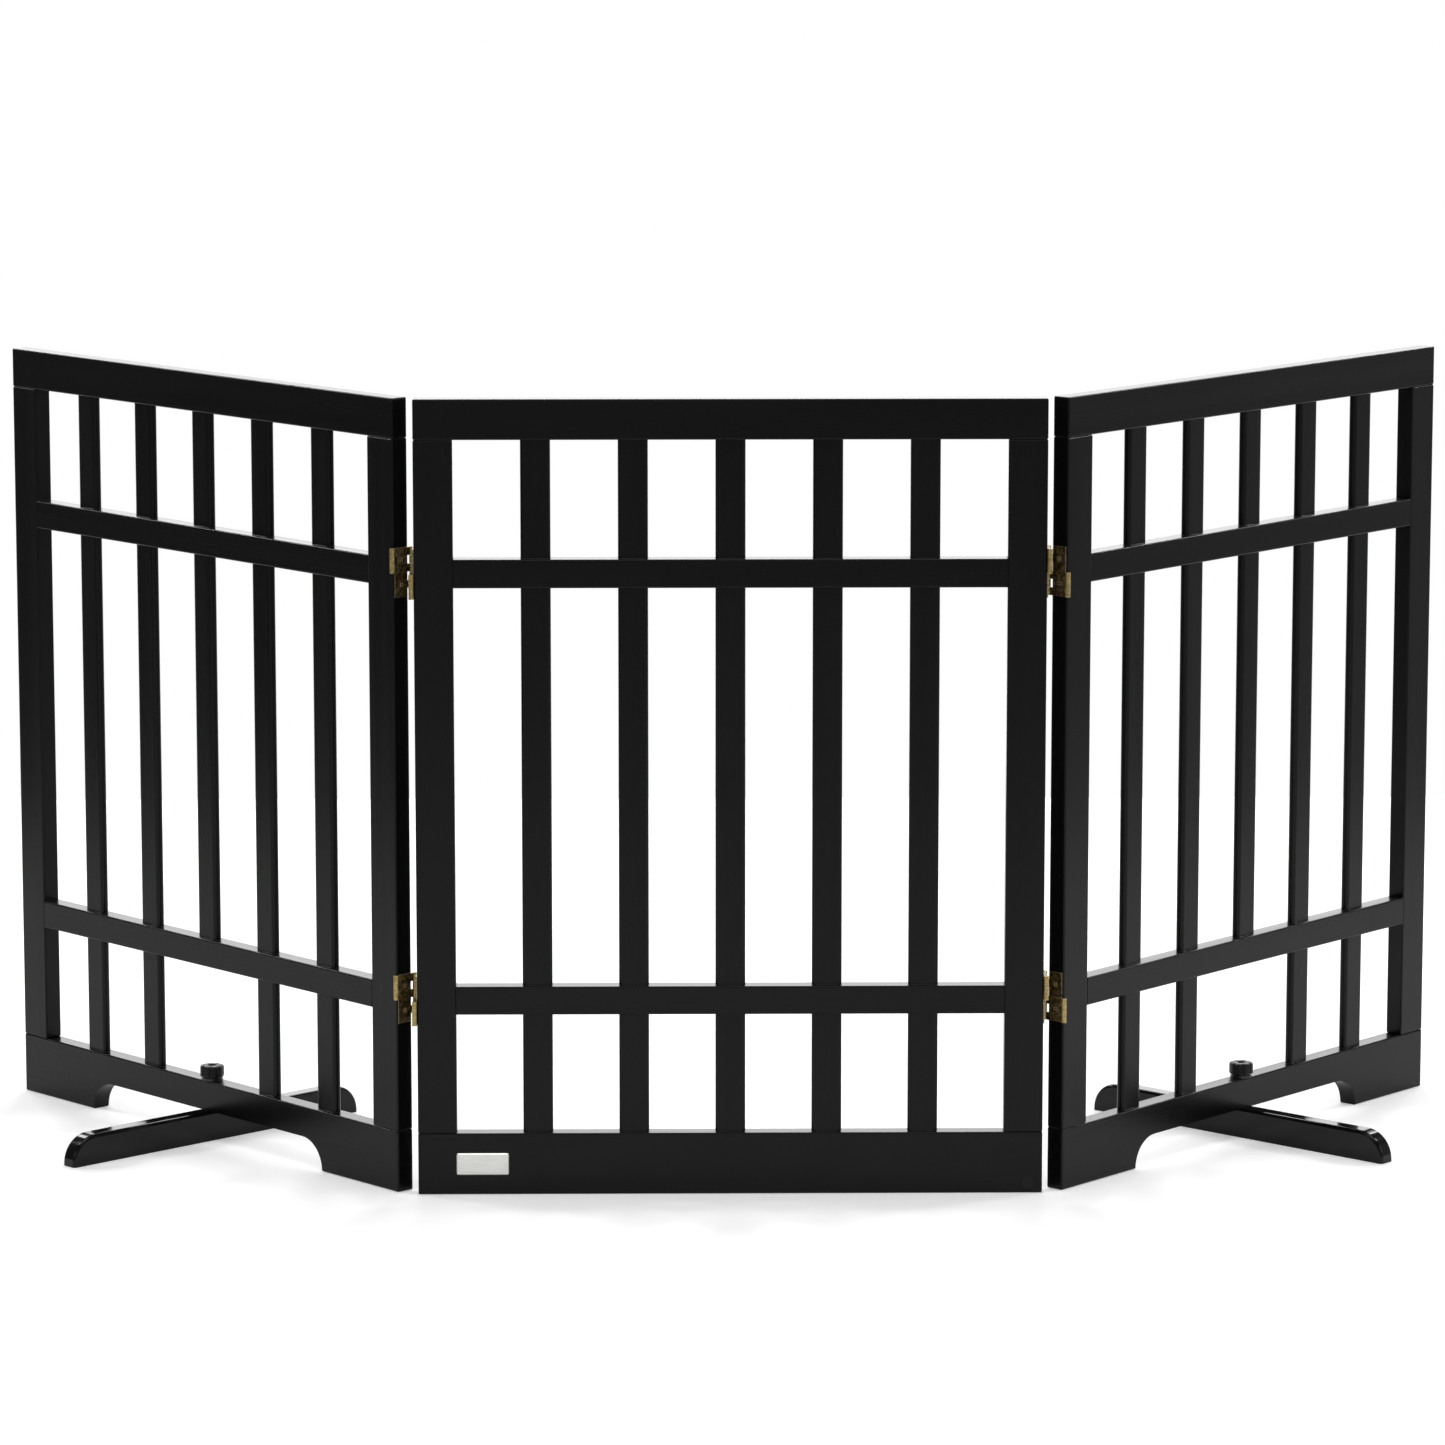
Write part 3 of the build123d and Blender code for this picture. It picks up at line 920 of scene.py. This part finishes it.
@dataclass
class HingePair:
    """The two double-acting hinges that join a side panel to the centre panel.

    Attributes:
        side: Which side panel they carry.
        front: A point on the front pivots' axis at rest.
        back: A point on the back pivots' axis at rest.
        turn: The side panel's turn about Z at rest, in degrees.
    """

    side: Side
    front: Vector
    back: Vector
    turn: float

    def dress(self, brass: HingeBrass, screws: bpy.types.Material) -> None:
        """Give the leaves, links, pins and screws their finishes.

        Args:
            brass: The finish of leaves, links and pins.
            screws: The finish of the side panel's screws.
        """
        word = self.side.word
        swing = Matrix.Rotation(math.radians(self.turn), 3, "Z")
        swung_front = self.back + swing @ (self.front - self.back)
        fixed = brass.build(f"hinge_brass_{word}_fixed", [self.front, self.back])
        swung = brass.build(f"hinge_brass_{word}_swung", [swung_front, self.back])
        for node in ("centre_leaves", "carrier_links"):
            dress(f"{word}_hinge_{node}", fixed)
        for node in ("side_leaves", "side_links", "pins"):
            dress(f"{word}_hinge_{node}", swung)
        dress(f"{word}_hinge_screws", screws)


@dataclass
class Support:
    """A foot square to a side panel, with its bolt, washer and knob.

    Attributes:
        side: Which side panel it holds up.
        turn: The side panel's turn about Z at rest, in degrees.
    """

    side: Side
    turn: float

    def dress(
        self, shop: Workshop, steel: bpy.types.Material, plastic: bpy.types.Material
    ) -> None:
        """Give the foot and its fastening their finishes.

        Args:
            shop: Where the lacquers are mixed.
            steel: The finish of bolt and washer.
            plastic: The finish of the knob.
        """
        word = self.side.word
        dress(f"{word}_foot", shop.lacquer(self.turn, Grain.ACROSS, glossy=True))
        dress(f"{word}_foot_bolt", steel)
        dress(f"{word}_foot_washer", steel)
        dress(f"{word}_foot_knob", plastic)


# ---- Studio ----
@dataclass(frozen=True)
class Softbox:
    """A square area light aimed at a point.

    Attributes:
        name: The light's name.
        place: Where it hangs, in metres.
        aim: What it points at.
        size: Its side in metres.
        power: Its power in watts.
        colour: Its colour.
    """

    name: str
    place: tuple[float, float, float]
    aim: tuple[float, float, float]
    size: float
    power: float
    colour: Colour = (1.0, 1.0, 1.0)

    def build(self) -> bpy.types.Object:
        """Hang the light.

        Returns:
            The light object.
        """
        data = bpy.data.lights.new(self.name, "AREA")
        data.size, data.energy, data.color = self.size, self.power, self.colour
        light = bpy.data.objects.new(self.name, data)
        light.location = self.place
        aim = Vector(self.aim) - Vector(self.place)
        light.rotation_euler = aim.to_track_quat("-Z", "Y").to_euler()
        bpy.context.scene.collection.objects.link(light)
        return light


@dataclass(frozen=True)
class Glow:
    """A wall of light seen in one direction from the gate.

    Attributes:
        axis: The direction's axis.
        start: Share of that axis where the light starts.
        full: Share of that axis where it is brightest.
        strength: Its brightness there.
    """

    axis: str
    start: float
    full: float
    strength: float


class Room:
    """The world's node tree under construction."""

    def __init__(self, name: str) -> None:
        """Start a white world whose brightness is still to be set.

        Args:
            name: The world's name.
        """
        world = bpy.data.worlds.new(name)
        bpy.context.scene.world = world
        world.use_nodes = True
        self.tree = world.node_tree
        self.background = self.tree.nodes["Background"]
        self.background.inputs["Color"].default_value = (1.0, 1.0, 1.0, 1.0)
        self.ways = self.tree.nodes.new("ShaderNodeSeparateXYZ")
        outward = self.tree.nodes.new("ShaderNodeTexCoord").outputs["Generated"]
        self.tree.links.new(outward, self.ways.inputs[0])

    def fade(self, axis: str, low: float, high: float, strength: float) -> Socket:
        """Make a brightness that rises smoothly along an axis.

        Args:
            axis: The axis of the direction.
            low: Share of the axis where the brightness starts.
            high: Share of the axis where it is full.
            strength: Its full value.

        Returns:
            The brightness's socket.
        """
        node = self.tree.nodes.new("ShaderNodeMapRange")
        node.interpolation_type = "SMOOTHSTEP"
        self.tree.links.new(self.ways.outputs[axis], node.inputs[0])
        for socket, value in zip(node.inputs[1:5], (low, high, 0.0, strength)):
            socket.default_value = value
        return node.outputs[0]

    def combine(self, operation: str, first: Socket, second: Socket | float) -> Socket:
        """Combine two brightnesses.

        Args:
            operation: The math node's operation.
            first: The first brightness.
            second: The second brightness, a socket or a number.

        Returns:
            The result's socket.
        """
        node = self.tree.nodes.new("ShaderNodeMath")
        node.operation = operation
        self.tree.links.new(first, node.inputs[0])
        if isinstance(second, float):
            node.inputs[1].default_value = second
        else:
            self.tree.links.new(second, node.inputs[1])
        return node.outputs[0]

    def light(self, brightness: Socket) -> None:
        """Light the gate with a brightness, before a backdrop that shows white.

        Args:
            brightness: The room's brightness in each direction.
        """
        shown = self.tree.nodes.new("ShaderNodeMix")
        shown.inputs["B"].default_value = 1.0
        path = self.tree.nodes.new("ShaderNodeLightPath")
        self.tree.links.new(path.outputs["Is Camera Ray"], shown.inputs["Factor"])
        self.tree.links.new(brightness, shown.inputs["A"])
        self.tree.links.new(shown.outputs["Result"], self.background.inputs["Strength"])


@dataclass
class Studio:
    """A pale floor under soft light.

    Attributes:
        floor_reach: Half the floor's side in metres.
        dim_glow: Brightness of the room away from its walls of light.
        wall_top: Share of Z where the walls of light end.
        wall_full: Share of Z below which they are full.
        glows: The walls of light, low down round the gate.
        lights: The softboxes.
    """

    floor_reach: float = 1.7
    dim_glow: float = 0.12
    wall_top: float = 0.6
    wall_full: float = 0.35
    glows: tuple[Glow, ...] = (
        Glow("Y", 0.35, 0.75, 2.6),
        Glow("Y", -0.3, -0.8, 0.30),
        Glow("X", 0.5, 0.9, 0.30),
    )
    lights: tuple[Softbox, ...] = (
        Softbox("overhead_box", (0.0, -0.9, 3.2), (0.0, -0.9, 0.0), 2.6, 56.0),
        Softbox("back_box", (0.0, 2.4, 2.2), (0.0, 0.0, 0.0), 0.9, 21.0),
        Softbox("left_back_box", (-1.3, 2.2, 1.8), (-0.4, 0.2, 0.0), 0.6, 12.0),
        Softbox("right_back_box", (1.3, 2.2, 1.8), (0.4, 0.2, 0.0), 0.6, 12.0),
        Softbox("left_box", (-3.2, -1.6, 1.6), (-0.2, 0.1, 0.3), 1.2, 10.0, (0.92, 0.96, 1.0)),
        Softbox("right_box", (3.4, -0.6, 1.5), (0.2, 0.1, 0.1), 1.4, 20.0, (1.0, 0.99, 0.98)),
        Softbox("left_foot_box", (-2.55, 1.25, 2.2), (-0.45, -0.15, 0.0), 0.4, 20.0),
        Softbox("right_foot_box", (2.55, 1.25, 2.2), (0.45, -0.15, 0.0), 0.4, 20.0),
    )

    def build(self) -> None:
        """Lay the floor, hang the lights and fill the room with light."""
        bpy.context.scene.view_settings.view_transform = "Standard"
        self.lay_floor()
        for light in self.lights:
            light.build()
        self.fill_room()

    def lay_floor(self) -> None:
        """Lay the floor, a hair below the gate's feet so that no faces coincide."""
        reach = self.floor_reach
        mesh = bpy.data.meshes.new("floor")
        corners = [(-reach, -reach, 0), (reach, -reach, 0), (reach, reach, 0), (-reach, reach, 0)]
        mesh.from_pydata(corners, [], [(0, 1, 2, 3)])
        mesh.materials.append(PaleFloor().build("pale_floor"))
        floor = bpy.data.objects.new("floor", mesh)
        floor.location.z = -FLOOR_DROP
        bpy.context.scene.collection.objects.link(floor)

    def fill_room(self) -> None:
        """Fill the room with light from low walls of light."""
        room = Room("room")
        first, *others = (
            room.fade(glow.axis, glow.start, glow.full, glow.strength) for glow in self.glows
        )
        walls = first
        for wall in others:
            walls = room.combine("ADD", walls, wall)
        low_down = room.fade("Z", self.wall_top, self.wall_full, 1.0)
        walls = room.combine("MULTIPLY", walls, low_down)
        room.light(room.combine("ADD", walls, self.dim_glow))


def side_place(back: Vector, turn: float) -> Matrix:
    """Where a side panel's own coordinates lie at rest.

    Args:
        back: A point on the axis of its back pivots.
        turn: Its turn about Z, in degrees.

    Returns:
        The matrix from panel coordinates to the gate's frame.
    """
    to_pivot = Matrix.Translation((back.x, back.y, 0))
    from_pivot = Matrix.Translation((back.x, -back.y, 0))
    return to_pivot @ Matrix.Rotation(math.radians(turn), 4, "Z") @ from_pivot


def main() -> None:
    """Build the camera, the studio and every sub-assembly of the gate."""
    logging.basicConfig(level=logging.INFO, format="%(message)s")
    Viewpoint().build()
    Studio().build()
    joints = {joint["name"]: joint for joint in frame["joints"]}
    fold = abs(joints["left_back_fold"]["range_deg"][0])
    shop = Workshop()
    beech = Beech().build("beech")
    steel = BlackedSteel().build("blacked_steel")
    plastic = KnobPlastic().build("knob_plastic")
    screws = ScrewBrass().build("screw_brass")
    centre = Panel("centre", 0.0, Matrix.Identity(4), arched=False)
    centre.dress(shop, beech)
    centre.build_beads(shop)
    axes = []
    for side in Side:
        word, turn = side.word, side.value * fold
        front = Vector(joints[f"{word}_forward_fold"]["pos_m"])
        back = Vector(joints[f"{word}_back_fold"]["pos_m"])
        axes += [front, back]
        panel = Panel(word, turn, side_place(back, turn), arched=True)
        panel.dress(shop, beech)
        panel.build_beads(shop)
        Support(side, turn).dress(shop, steel, plastic)
        HingePair(side, front, back, turn).dress(HingeBrass(), screws)
    dress("centre_hinge_pins", HingeBrass().build("hinge_brass_centre", axes))
    dress("centre_hinge_screws", screws)
    dress("badge_plate", BadgeMetal().build("badge_metal"))
    dress("rail_plug", Filler().build("filler"))


if __name__ == "__main__":
    main()
